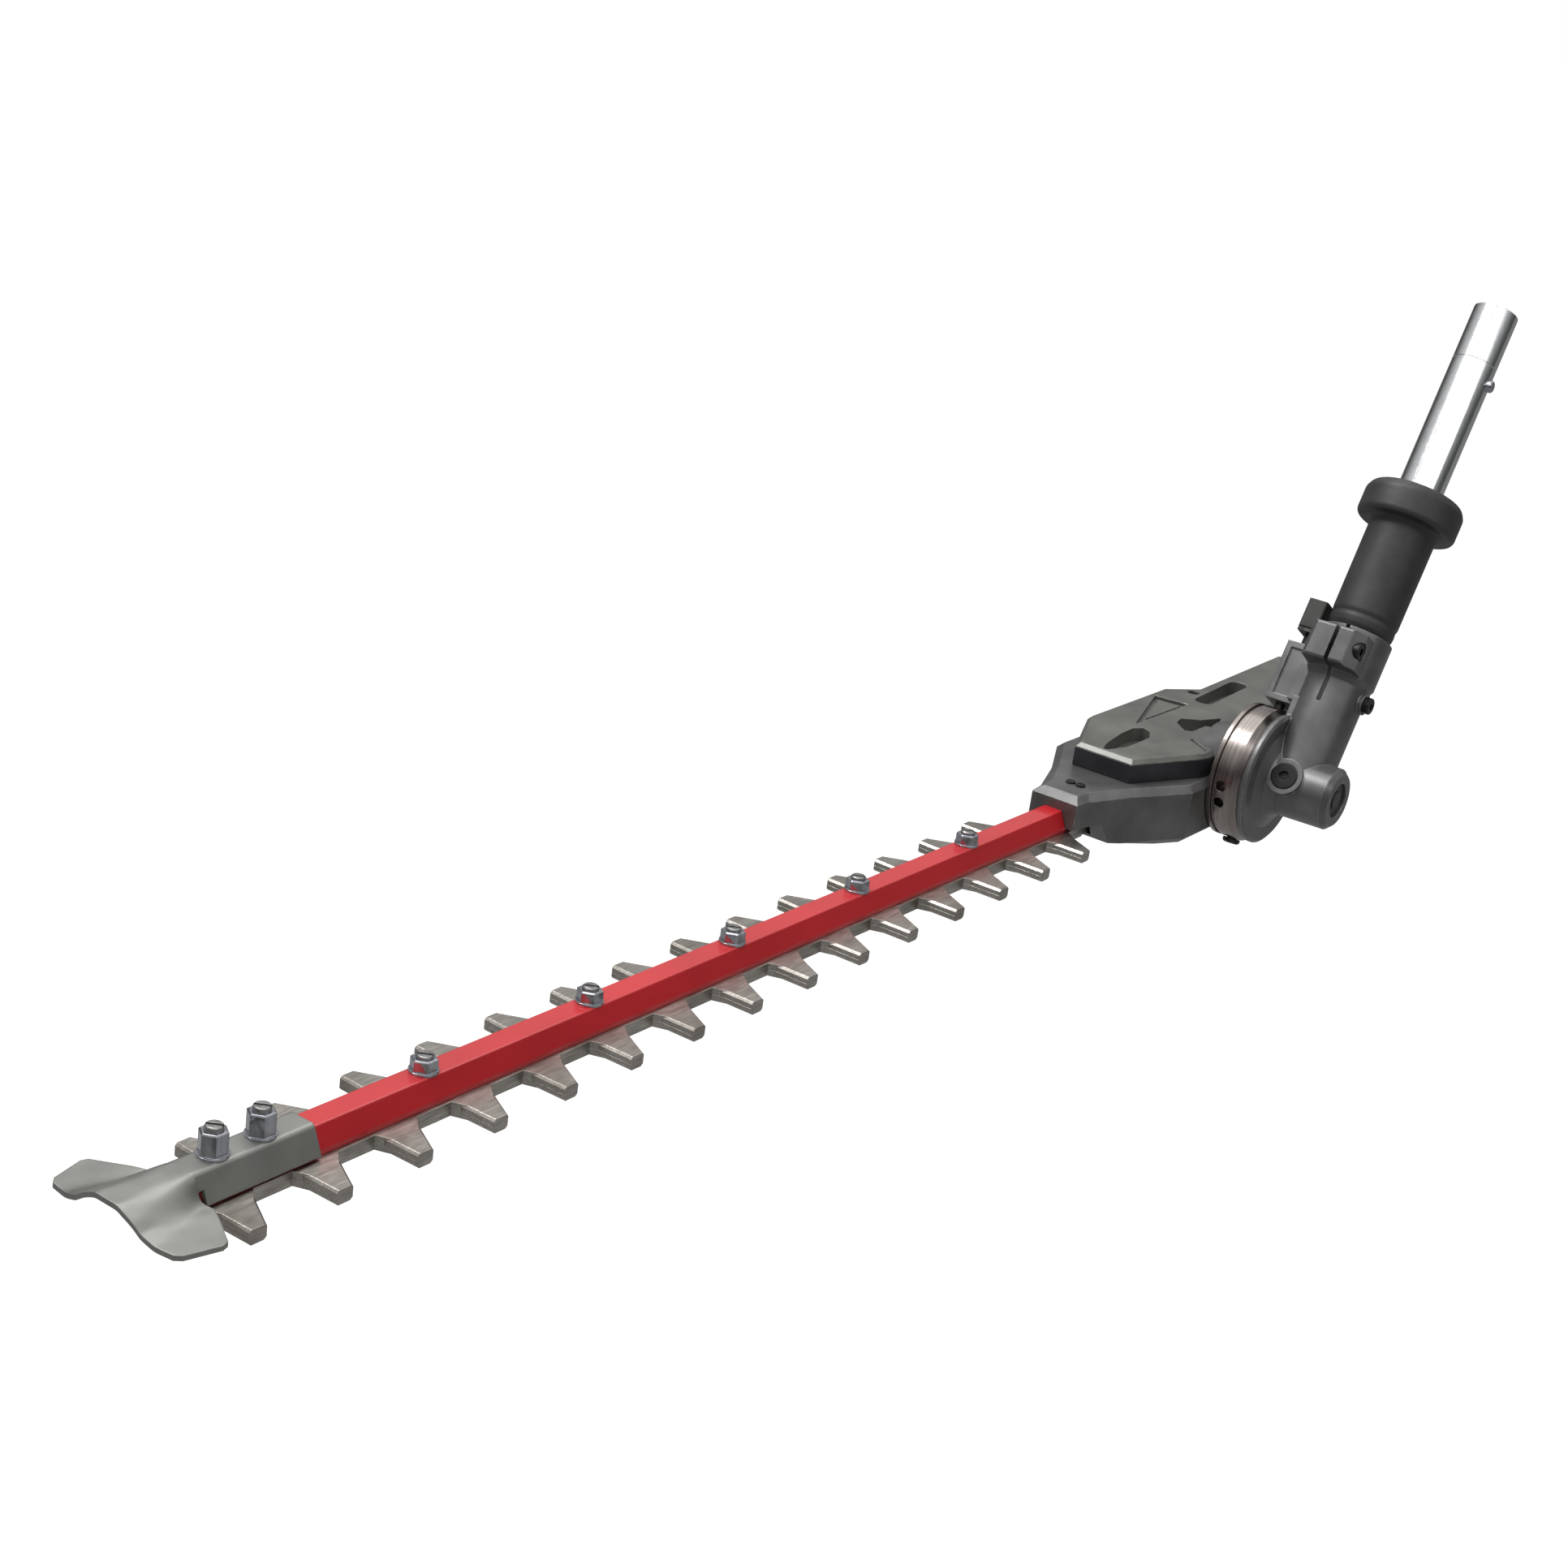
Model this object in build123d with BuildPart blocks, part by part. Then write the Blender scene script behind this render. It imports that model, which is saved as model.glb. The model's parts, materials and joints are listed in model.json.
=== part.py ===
"""Pole hedge trimmer head: a double sided cutter on a right-angle gearbox that swings on the end of a pole.

Millimetres. +X runs along the cutter to its tip, +Y runs along the pivot axis to the side that the pole
is on, and +Z is up, square to the blades. Everything is drawn about the centre of the swing pivot, and
each finished piece is moved so that the centre of the pole's cut end becomes the origin.
"""
from build123d import *
from math import atan2, cos, pi, radians, sin
import os

os.makedirs("parts", exist_ok=True)

# ---- driving dimensions -------------------------------------------------------------------------
# cutter
blade_z = -19.9
blade_t = 2.6
blade_gap = 0.05
blade_top = blade_z + blade_gap + blade_t
blade_bottom = blade_z - blade_gap - blade_t
tooth_pitch = 35.0
tooth_count = 15
first_tooth_x = 616.8
tooth_reach = 26.8
tooth_tip = 7.0
tooth_root = 18.0
spine_half = 9.2
stroke = tooth_pitch / 4
bolt_x = 518.3
bolt_spacing = 83.3
bolt_count = 5
bolt_r = 3.0
tip_bolts_x = (589.2, 608.2)

# support bar
bar_base_z = blade_top + 0.1
bar_top_z = blade_z + 12.0
bar_base_half = 7.7
bar_top_half = 4.6
bar_end_x = 616.0
blade_end_x = 628.0
guard_t = 1.6

# gearbox
wall_half = 37.5
wall_top_z = -3.2
deck_z = -0.3
band_top_z = 8.8
cover_top_z = 11.0
floor_z = -29.0
wall_t = 3.0
nose_x = 111.0
tail_x = -176.0
seat_y = 38.0

# swing pivot and index ring
ring_r = 33.0
ring_front_y = 53.0
trunnion_r = 13.0
trunnion_end_y = 27.5
clip_room_r = 16.3
clip_room_y = 30.6
flange_front_y = 57.0
index_step = 15.0
index_y = 44.5
index_pin_r = 2.6
fit_gap = 0.05

# pole side
pole_y = 67.0
pole_angle = 120.0
tube_r = 11.0
tube_wall = 1.6
tube_start = 30.0
tube_end = 253.0
arm_r = 15.5
clamp_r = 17.2
clamp_from = 55.0
clamp_to = 79.0
sleeve_r = 16.6
sleeve_from = 79.2
sleeve_flange_r = 24.6
sleeve_flange_from = 136.5
sleeve_flange_to = 154.5
elbow_end_y = 90.0
elbow_r = 15.0

# coupling end of the pole
land_length = 28.0
button_along = 216.0
button_r = 3.0
bush_along = 226.0

# drive line
shaft_r = 4.0
bearing_r = 8.0
bearing_w = 5.0
miter_r = 10.0
miter_teeth = 16
pinion_teeth = 12
crown_teeth = 36
crown_r = 21.0
crown_drop = 1.9
eccentric_r = 13.0

pole_direction = (cos(radians(pole_angle)), 0, sin(radians(pole_angle)))
pole_base = Plane(origin=(0, pole_y, 0), x_dir=(0, 1, 0), z_dir=pole_direction)


def along_pole(s):
    """Plane square to the pole at a distance s from the pivot axis; its x is +Y, its -y faces the cutter."""
    return pole_base.offset(s)


def across_pivot(y):
    """Plane square to the pivot axis at y; its x is +X and its y is -Z."""
    return Plane(origin=(0, y, 0), x_dir=(1, 0, 0), z_dir=(0, 1, 0))


def level(z):
    """Horizontal plane at height z."""
    return Plane.XY.offset(z)


def save(piece, name):
    """Move a finished piece so that the pole's end is the origin, label it and write its STEP file."""
    placed = piece.part.moved(Location(-along_pole(tube_end).origin))
    placed.label = name
    export_step(placed, f"parts/{name}.step")


def mirrored(points):
    """Close an outline given for +Y only, listed from the nose to the tail, with its mirror image."""
    return points + [(x, -y) for x, y in reversed(points) if y > 0]


def bearing(plane, outer_r, inner_r, width):
    """Ball bearing as a closed ring with a groove in each face between its races."""
    with BuildPart() as ring:
        with BuildSketch(plane):
            Circle(outer_r)
            Circle(inner_r, mode=Mode.SUBTRACT)
        extrude(amount=width)
        middle = (outer_r + inner_r) / 2
        for face_plane, depth in ((plane, 0.5), (plane.offset(width), -0.5)):
            with BuildSketch(face_plane):
                Circle(middle + 0.9)
                Circle(middle - 0.9, mode=Mode.SUBTRACT)
            extrude(amount=depth, mode=Mode.SUBTRACT)
    return ring.part


def socket_screw(plane, shank_r, length, head_r, head_h, key_r):
    """Socket head screw: its head stands on the plane and its shank goes the other way."""
    with BuildPart() as screw:
        with BuildSketch(plane):
            Circle(head_r)
        extrude(amount=head_h)
        top = screw.faces().sort_by(Axis(plane.origin, plane.z_dir))[-1]
        chamfer(top.edges(), head_h * 0.12)
        with BuildSketch(plane.offset(head_h)):
            RegularPolygon(key_r, 6)
        extrude(amount=-head_h * 0.6, mode=Mode.SUBTRACT)
        with BuildSketch(plane):
            Circle(shank_r)
        extrude(amount=-length)
    return screw.part


def bevel_gear(pitch_r, cone, face, teeth, bore_r, back):
    """Straight bevel gear on +Z with its apex at the origin; teeth and spaces taper towards the apex.

    Every section is square to the pitch line, whose outward normal carries the tooth height.
    """
    module = 2 * pitch_r / teeth
    reach = pitch_r / sin(cone)
    near = (reach - face) / reach

    def on_section(scale, height):
        """Radius and height of a point above the pitch line, height in modules at the large end."""
        lift = height * module * scale
        return (pitch_r * scale + lift * cos(cone), reach * scale * cos(cone) - lift * sin(cone))

    half_space = 0.29 * pi * module
    pitch_line = (sin(cone), 0, cos(cone))
    outward = (cos(cone), 0, -sin(cone))
    with BuildPart() as cutter:
        for scale in (near * 0.9, 1.1):
            foot = tuple(reach * scale * c for c in pitch_line)
            with BuildSketch(Plane(origin=foot, x_dir=outward, z_dir=pitch_line)):
                with BuildLine():
                    Polyline(
                        (-1.1 * module * scale, -0.55 * half_space * scale),
                        (1.6 * module * scale, -1.7 * half_space * scale),
                        (1.6 * module * scale, 1.7 * half_space * scale),
                        (-1.1 * module * scale, 0.55 * half_space * scale),
                        close=True,
                    )
                make_face()
        loft()
    inner_root = on_section(near, -1.3)
    outer_root = on_section(1.0, -1.6)
    with BuildPart() as gear:
        with BuildSketch(Plane.XZ):
            with BuildLine():
                Polyline(
                    (bore_r, inner_root[1]),
                    inner_root,
                    on_section(near, 0.75),
                    on_section(1.0, 0.75),
                    outer_root,
                    (bore_r + 2.5, outer_root[1] + back),
                    (bore_r, outer_root[1] + back),
                    close=True,
                )
            make_face()
        revolve(axis=Axis.Z)
        with PolarLocations(0, teeth):
            add(cutter.part, mode=Mode.SUBTRACT)
    return gear.part


# ---- blades -------------------------------------------------------------------------------------
yoke_half = 28.0
yoke_x = 21.0
neck_half = 8.5
spine_start_x = 96.0
bar_bolts = [(bolt_x - bolt_spacing * n, 0) for n in range(bolt_count)]
tip_bolts = [(x, 0) for x in tip_bolts_x]


def tooth_corners(tip_x, side):
    """Corners of one tooth, root to root, on the +Y (side = 1) or -Y (side = -1) edge of the spine."""
    root_y = side * (spine_half - 1.0)
    return [
        (tip_x + 2.0, root_y),
        (tip_x + 0.4, side * (spine_half + 3.0)),
        (tip_x, side * tooth_reach),
        (tip_x - tooth_tip, side * tooth_reach),
        (tip_x - tooth_root + 2.5, side * (spine_half + 2.0)),
        (tip_x - tooth_root, root_y),
    ]


def build_blade(base_z, bevel_up):
    """One blade: a slotted spine, teeth on both edges half a pitch apart, and a yoke at the drive end."""
    with BuildPart() as blade:
        with BuildSketch(level(base_z)):
            with Locations(((blade_end_x + yoke_x) / 2, 0)):
                Rectangle(blade_end_x - yoke_x, 2 * neck_half)
            with Locations(((blade_end_x + spine_start_x) / 2, 0)):
                Rectangle(blade_end_x - spine_start_x, 2 * spine_half)
            Rectangle(2 * yoke_x, 2 * yoke_half)
            for number in range(tooth_count):
                for side, lag in ((1, 0.0), (-1, 0.5)):
                    tip_x = first_tooth_x - tooth_pitch * (number + lag)
                    if tip_x > nose_x + 10:
                        with BuildLine():
                            Polyline(*tooth_corners(tip_x, side), close=True)
                        make_face()
            SlotCenterToCenter(2 * stroke, 2 * eccentric_r + 0.2, rotation=90, mode=Mode.SUBTRACT)
            with Locations(*bar_bolts):
                SlotCenterToCenter(2 * stroke + 1.0, 2 * bolt_r + 0.6, mode=Mode.SUBTRACT)
            with Locations((sum(tip_bolts_x) / 2, 0)):
                tip_slot = tip_bolts_x[1] - tip_bolts_x[0] + 2 * stroke + 1.0
                SlotCenterToCenter(tip_slot, 2 * bolt_r + 0.6, mode=Mode.SUBTRACT)
        extrude(amount=blade_t)
        ground_z = base_z + blade_t if bevel_up else base_z
        flanks = (
            blade.faces()
            .filter_by(lambda f: abs(f.normal_at().Z) < 0.01 and abs(f.normal_at().Y) < 0.75)
            .filter_by(lambda f: abs(f.center().Y) > spine_half + 3.0 and f.center().X > yoke_x + 5)
        )
        ground = flanks.edges().filter_by(lambda e: abs(e.center().Z - ground_z) < 0.01)
        chamfer(ground.filter_by(lambda e: abs(e.center().Y) > spine_half + 3.0), 0.9)
    return blade


upper_blade = build_blade(blade_z + blade_gap, True)
save(upper_blade, "upper_blade")

lower_blade = build_blade(blade_bottom, False)
save(lower_blade, "lower_blade")

# ---- support bar, its bolts and the tip guard -----------------------------------------------------
bar_start_x = 66.0
nose_screw_places = [(93.0, 2.6), (93.0, -2.6)]
nose_screw_r = 1.6

with BuildPart() as blade_bar:
    with BuildSketch(Plane.YZ.offset(bar_start_x)):
        with BuildLine():
            Polyline(
                (-bar_base_half, bar_base_z),
                (-bar_base_half, bar_base_z + 1.8),
                (-bar_top_half, bar_top_z),
                (bar_top_half, bar_top_z),
                (bar_base_half, bar_base_z + 1.8),
                (bar_base_half, bar_base_z),
                close=True,
            )
        make_face()
    extrude(amount=bar_end_x - bar_start_x)
    ridges = blade_bar.edges().filter_by(Axis.X).filter_by(lambda e: e.center().Z > bar_base_z + 1)
    fillet(ridges, 0.7)
    with BuildSketch(level(bar_base_z)):
        with Locations(*bar_bolts, *tip_bolts):
            Circle(bolt_r)
    extrude(amount=bar_top_z - bar_base_z, mode=Mode.SUBTRACT)
    with BuildSketch(level(bar_base_z)):
        with Locations(*nose_screw_places):
            Circle(nose_screw_r)
    extrude(amount=bar_top_z - bar_base_z, mode=Mode.SUBTRACT)
save(blade_bar, "blade_bar")

guard_rear_x = 572.0
guard_front_x = 648.0
wing_start_x = 620.0
wing_z = blade_z + 4.6
slit_x = 617.8
slit_top_z = blade_z + 8.4
slit_half = 5.8
wing_outline = [
    (wing_start_x, 9.6),
    (wing_start_x, 14.2),
    (622.4, 19.4),
    (629.0, 31.2),
    (631.5, 32.0),
    (643.6, 28.8),
    (645.6, 26.8),
    (guard_front_x, 7.0),
]


def guard_section(crown_z, crown_half, foot_half, foot_z):
    """Corners of the arched sheet in section: the outer line over the crown, then the inner line back."""
    inner_foot = foot_half - guard_t
    inner_crown = crown_half - guard_t * 0.45
    outer = [(-foot_half, foot_z), (-crown_half, crown_z), (crown_half, crown_z), (foot_half, foot_z)]
    inner = [(inner_foot, foot_z), (inner_crown, crown_z - guard_t)]
    return outer + inner + [(-y, z) for y, z in reversed(inner)]


crown_z = bar_top_z + guard_t
arch_crown = bar_top_half + 0.75
arch_foot = bar_base_half + guard_t + 0.35


def wave_height(y, flat, reach):
    """Height of the front sheet's upper face: level over the bar, then a smooth fall to the wings."""
    fall = min(max((abs(y) - flat) / (reach - flat), 0.0), 1.0)
    return wing_z + guard_t + (crown_z - wing_z - guard_t) * (0.5 + 0.5 * cos(pi * fall))


# place along the bar, half width of the level top, half width where the fall ends
front_shapes = [
    (wing_start_x, 4.6, 10.0),
    (624.5, 4.3, 13.2),
    (630.0, 4.0, 16.0),
    (639.0, 3.4, 19.0),
    (guard_front_x + 1.0, 3.0, 21.0),
]
with BuildPart() as tip_guard:
    # smooth front sheet, lofted wide and then trimmed to the outline of the wings
    for x, flat, reach in front_shapes:
        across = [-36.0, -29.0] + [reach * n / 5 for n in range(-6, 7)] + [29.0, 36.0]
        with BuildSketch(Plane.YZ.offset(x)):
            with BuildLine():
                upper = Spline(*[(y, wave_height(y, flat, reach)) for y in across])
                lower = Spline(*[(y, wave_height(y, flat, reach) - guard_t * 1.15) for y in across])
                Line(upper @ 0, lower @ 0)
                Line(upper @ 1, lower @ 1)
            make_face()
    loft()
    with BuildSketch(level(wing_z - 3)):
        with BuildLine():
            Polyline(*mirrored(wing_outline), close=True)
        make_face()
    extrude(amount=crown_z - wing_z + 6, mode=Mode.INTERSECT)
    # arch that straddles the end of the bar
    with BuildSketch(Plane.YZ.offset(guard_rear_x)):
        with BuildLine():
            Polyline(*guard_section(crown_z, arch_crown, arch_foot, bar_base_z + 1.0), close=True)
        make_face()
        fillet(vertices().filter_by(lambda v: abs(v.Y - crown_z) < 0.01), 2.0)
    extrude(amount=wing_start_x + 0.5 - guard_rear_x)
    # relief slits between the arch's feet and the wings
    with BuildSketch(level(slit_top_z)):
        for side in (-1, 1):
            with Locations(((slit_x + wing_start_x + 0.5) / 2, side * (slit_half + 10))):
                Rectangle(wing_start_x + 0.5 - slit_x, 20)
    extrude(amount=-(slit_top_z - wing_z + 5), mode=Mode.SUBTRACT)
    with BuildSketch(level(bar_top_z - 1)):
        with Locations(*tip_bolts):
            Circle(bolt_r)
    extrude(amount=6, mode=Mode.SUBTRACT)
save(tip_guard, "tip_guard")


def hex_nut(x, base_z, across, height, stud_r):
    """Hexagon nut with a round collar and the slotted end of its stud sunk in the top."""
    with BuildPart() as nut:
        with BuildSketch(level(base_z)):
            with Locations((x, 0)):
                Circle(across * 0.62)
        extrude(amount=0.9)
        with BuildSketch(level(base_z + 0.9)):
            with Locations((x, 0)):
                RegularPolygon(across / 2, 6, major_radius=False)
        extrude(amount=height - 0.9)
        top = nut.faces().sort_by(Axis.Z)[-1]
        chamfer(top.edges(), 0.5)
        with BuildSketch(level(base_z)):
            with Locations((x, 0)):
                Circle(stud_r)
        extrude(amount=height, mode=Mode.SUBTRACT)
    return nut.part


def shoulder_bolt(x, top_z, head_r, head_h, stud_top_z):
    """Blade bolt: low head under the washer, plain shank through the stack, slotted end above the nut."""
    with BuildPart() as bolt:
        with BuildSketch(level(top_z)):
            with Locations((x, 0)):
                Circle(head_r)
        extrude(amount=-head_h)
        chamfer(bolt.faces().sort_by(Axis.Z)[0].edges(), 0.4)
        with BuildSketch(level(top_z)):
            with Locations((x, 0)):
                Circle(bolt_r)
        extrude(amount=stud_top_z - top_z)
        chamfer(bolt.faces().sort_by(Axis.Z)[-1].edges(), 0.4)
        with BuildSketch(level(stud_top_z)):
            with Locations((x, 0)):
                Rectangle(1.2, 2 * bolt_r + 2, rotation=35)
        extrude(amount=-1.6, mode=Mode.SUBTRACT)
    return bolt.part


washer_t = 1.2
washer_gap = 0.1
washer_bottom = blade_bottom - washer_gap - washer_t
bar_nut_h = 5.2
tip_nut_h = 8.6

with BuildPart() as blade_washers:
    with BuildSketch(level(washer_bottom)):
        with Locations(*bar_bolts):
            Circle(8.0)
            Circle(bolt_r, mode=Mode.SUBTRACT)
    extrude(amount=washer_t)
    lower_faces = blade_washers.faces().sort_by(Axis.Z)[0:bolt_count]
    chamfer(lower_faces.edges().filter_by(lambda e: e.radius > 7), 0.3)
save(blade_washers, "blade_washers")

with BuildPart() as blade_bolts:
    for x, _ in bar_bolts:
        add(shoulder_bolt(x, washer_bottom, 5.0, 2.2, bar_top_z + bar_nut_h + 1.2))
save(blade_bolts, "blade_bolts")

with BuildPart() as blade_nuts:
    for x, _ in bar_bolts:
        add(hex_nut(x, bar_top_z, 8.4, bar_nut_h, bolt_r))
save(blade_nuts, "blade_nuts")

tip_stack_z = bar_top_z + guard_t
with BuildPart() as tip_bolt_set:
    add(shoulder_bolt(tip_bolts_x[0], blade_bottom - washer_gap, 5.0, 2.2, tip_stack_z + tip_nut_h + 1.8))
    add(shoulder_bolt(tip_bolts_x[1], blade_bottom - washer_gap, 5.0, 2.2, tip_stack_z + tip_nut_h + 1.8))
save(tip_bolt_set, "tip_bolts")

with BuildPart() as tip_nuts:
    for x, _ in tip_bolts:
        add(hex_nut(x, tip_stack_z, 8.4, tip_nut_h, bolt_r))
save(tip_nuts, "tip_nuts")

# ---- gearbox ------------------------------------------------------------------------------------
far_tail = [(-66.0, 24.0), (-166.0, 26.5), (tail_x, 18.0)]
near_tail = [(-68.0, 21.0), (-162.0, 15.0), (tail_x, 6.0)]
front_half = [(nose_x, 12.0), (102.0, 13.0), (76.0, 22.6), (46.0, wall_half), (-52.0, wall_half)]


def body_outline(front, far, near):
    """Closed outline: the same front half on both sides, then the two unlike edges of the tail."""
    near_side = [(x, y) for x, y in front + near]
    far_side = [(x, -y) for x, y in front + far]
    return near_side + far_side[::-1]


def drawn_in(points, margin):
    """The same corners moved a little towards the middle line and back from both ends."""
    shift = [(margin * (1.4 if x > nose_x - 12 else 0.5), margin) for x, y in points]
    return [(x - (dx if x > 0 else -dx), y - dy) for (x, y), (dx, dy) in zip(points, shift)]


deck_margin = 3.2
wall_outline = body_outline(front_half, far_tail, near_tail)
deck_outline = body_outline(
    drawn_in(front_half, deck_margin), drawn_in(far_tail, deck_margin), drawn_in(near_tail, deck_margin)
)
cover_outline = body_outline(
    [(70.0, 15.4), (28.0, 33.0), (-48.0, 33.0)],
    [(-65.0, 21.6), (-163.0, 24.6), (tail_x + 4.5, 16.0)],
    [(-66.0, 17.0), (-160.0, 11.6), (tail_x + 4.5, 4.4)],
)
cavity_half = 33.5
cavity_tail_x = -48.0
boss_r = 24.0
boss_y = 22.0
boss_neck_r = 18.5
boss_room = [(boss_y - 0.3, 0), (boss_y - 0.3, boss_neck_r + 0.3), (seat_y + 1, boss_r + 0.7), (seat_y + 1, 0)]
tail_floor_z = -14.0
chine = 3.0
chin_z = -15.4
bar_slot_clear = 0.15
housing_screws = [(56.0, -2.0), (-54.0, 17.0), (-56.0, -19.0), (-152.0, -6.0)]

with BuildPart() as housing_lower:
    with BuildSketch(level(floor_z)):
        with BuildLine():
            Polyline(*wall_outline, close=True)
        make_face()
        offset(amount=-chine, kind=Kind.INTERSECTION)
    with BuildSketch(level(floor_z + chine)):
        with BuildLine():
            Polyline(*wall_outline, close=True)
        make_face()
    loft()
    with BuildSketch(level(floor_z + chine)):
        with BuildLine():
            Polyline(*wall_outline, close=True)
        make_face()
    extrude(amount=wall_top_z - floor_z - chine)
    with BuildSketch(level(wall_top_z)):
        with BuildLine():
            Polyline(*wall_outline, close=True)
        make_face()
    with BuildSketch(level(deck_z)):
        with BuildLine():
            Polyline(*deck_outline, close=True)
        make_face()
    loft()
    # conical boss that carries the index ring
    with BuildSketch(Plane.YZ):
        with BuildLine():
            Polyline((boss_y, 0), (boss_y, boss_neck_r), (seat_y, boss_r), (seat_y, 0), close=True)
        make_face()
    revolve(axis=Axis.Y)
    # underside: sloping nose chin and rising tail
    with BuildSketch(Plane.XZ.offset(-60)):
        with BuildLine():
            Polyline(
                (nose_x + 1, floor_z - 1),
                (nose_x + 1, chin_z),
                (93.0, chin_z),
                (87.0, floor_z + 4.0),
                (58.0, floor_z),
                (58.0, floor_z - 1),
                close=True,
            )
        make_face()
        with BuildLine():
            Polyline((-70.0, floor_z - 1), (tail_x - 1, tail_floor_z), (tail_x - 1, floor_z - 1), close=True)
        make_face()
    extrude(amount=120, mode=Mode.SUBTRACT)
    # gear chamber, blade tunnel and bar socket
    with BuildSketch(level(floor_z + wall_t)):
        with BuildLine():
            Polyline(
                *mirrored([(52.0, 22.0), (34.0, cavity_half - 3), (cavity_tail_x, cavity_half - 3)]),
                close=True,
            )
        make_face()
    extrude(amount=-floor_z - wall_t + 5.0, mode=Mode.SUBTRACT)
    with BuildSketch(Plane.YZ.offset(40.0)):
        with Locations((0, blade_z)):
            Rectangle(2 * spine_half + 1.2, 2 * blade_t + 1.6)
    extrude(amount=nose_x, mode=Mode.SUBTRACT)
    with BuildSketch(Plane.YZ.offset(bar_start_x)):
        with BuildLine():
            Polyline(
                (-bar_base_half - bar_slot_clear, blade_z),
                (-bar_base_half - bar_slot_clear, bar_base_z + 1.9),
                (-bar_top_half - bar_slot_clear, bar_top_z),
                (bar_top_half + bar_slot_clear, bar_top_z),
                (bar_base_half + bar_slot_clear, bar_base_z + 1.9),
                (bar_base_half + bar_slot_clear, blade_z),
                close=True,
            )
        make_face()
    extrude(amount=nose_x, mode=Mode.SUBTRACT)
    # pivot bore, crank bearing seats and screw holes
    with BuildSketch(across_pivot(10.0)):
        Circle(trunnion_r + fit_gap)
    extrude(amount=seat_y, mode=Mode.SUBTRACT)
    with BuildSketch(across_pivot(boss_y - 2)):
        Circle(clip_room_r)
    extrude(amount=clip_room_y - boss_y + 2, mode=Mode.SUBTRACT)
    with BuildSketch(level(floor_z + 0.8)):
        Circle(bearing_r)
    extrude(amount=4.0, mode=Mode.SUBTRACT)
    with BuildSketch(level(deck_z - 14.0)):
        with Locations(*housing_screws):
            Circle(1.6)
    extrude(amount=16.0, mode=Mode.SUBTRACT)
    with BuildSketch(level(bar_top_z - 1)):
        with Locations(*nose_screw_places):
            Circle(nose_screw_r)
    extrude(amount=deck_z - bar_top_z + 2, mode=Mode.SUBTRACT)
    with BuildSketch(across_pivot(seat_y)):
        with PolarLocations(19.0, 4, start_angle=45):
            Circle(2.1)
    extrude(amount=-6.0, mode=Mode.SUBTRACT)
save(housing_lower, "gear_housing")

cover_floor_z = deck_z + 0.1
roof_z = 8.4
crank_bearing_z = -4.0
crank_bearing_w = 3.0
pocket_depth = 7.0
screw_sink = 7.0
crooked_pocket = [
    (-3.0, -0.4),
    (-10.8, -2.3),
    (-18.2, 5.2),
    (-30.4, 10.2),
    (-14.1, 15.5),
    (-11.0, 11.2),
    (2.5, 11.2),
    (4.8, 8.2),
]
wedge_pocket = [
    (65.8, -3.0),
    (56.8, -5.8),
    (37.6, -8.8),
    (25.4, -9.1),
    (20.6, -5.8),
    (22.3, -1.8),
    (31.0, 3.0),
    (53.1, 3.4),
    (65.8, -0.6),
]
triangle = [(19.0, -11.8), (-32.4, -28.6), (-35.0, -11.0)]
with BuildPart() as housing_cover:
    with BuildSketch(level(cover_floor_z)):
        with BuildLine():
            Polyline(*cover_outline, close=True)
        make_face()
        offset(amount=-1.2)
    extrude(amount=band_top_z - cover_floor_z)
    with BuildSketch(level(band_top_z)):
        with BuildLine():
            Polyline(*cover_outline, close=True)
        make_face()
    with BuildSketch(level(cover_top_z)):
        with BuildLine():
            Polyline(*cover_outline, close=True)
        make_face()
        offset(amount=-2.2)
    loft()
    # room for the pinion, and a hanging seat for the upper crank bearing
    with BuildSketch(level(cover_floor_z)):
        with Locations((0, 20.4)):
            Rectangle(19.0, 16.0)
    extrude(amount=roof_z - cover_floor_z, mode=Mode.SUBTRACT)
    with BuildSketch(level(crank_bearing_z - 0.8)):
        Circle(bearing_r + 2.4)
    extrude(amount=cover_floor_z - crank_bearing_z + 0.8)
    with BuildSketch(level(crank_bearing_z - 0.8)):
        Circle(bearing_r)
    extrude(amount=crank_bearing_w + 1.0, mode=Mode.SUBTRACT)
    # clearance round the pivot boss
    with BuildSketch(Plane.YZ):
        with BuildLine():
            Polyline(*boss_room, close=True)
        make_face()
    revolve(axis=Axis.Y, mode=Mode.SUBTRACT)
    # deep pockets in the top face: a long slot, a crooked pocket and a wedge that holds a screw
    with BuildSketch(level(cover_top_z)):
        with Locations(Location((-69.5, -10.0, 0), (0, 0, 3.3))):
            SlotOverall(52.0, 9.6)
        with BuildLine():
            Polyline(*crooked_pocket, close=True)
        make_face()
        with BuildLine():
            Polyline(*wedge_pocket, close=True)
        make_face()
    extrude(amount=-pocket_depth, mode=Mode.SUBTRACT)
    # plain triangle with a moat round a low island, and a fine step line
    with BuildSketch(level(cover_top_z)):
        with BuildLine():
            Polyline(*triangle, close=True)
        make_face()
        offset(amount=-2.6, mode=Mode.SUBTRACT)
    extrude(amount=-2.2, mode=Mode.SUBTRACT)
    with BuildSketch(level(cover_top_z)):
        with BuildLine():
            Polyline(*triangle, close=True)
        make_face()
        with BuildLine():
            Polyline((13.4, 17.0), (15.0, 16.2), (24.6, 29.0), (23.0, 30.0), close=True)
        make_face()
    extrude(amount=-1.0, mode=Mode.SUBTRACT)
    with BuildSketch(level(cover_floor_z)):
        with Locations(*housing_screws):
            Circle(1.6)
    extrude(amount=cover_top_z, mode=Mode.SUBTRACT)
    with BuildSketch(level(cover_top_z)):
        with Locations(*housing_screws):
            Circle(3.2)
    extrude(amount=-screw_sink, mode=Mode.SUBTRACT)
save(housing_cover, "gear_cover")

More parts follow.
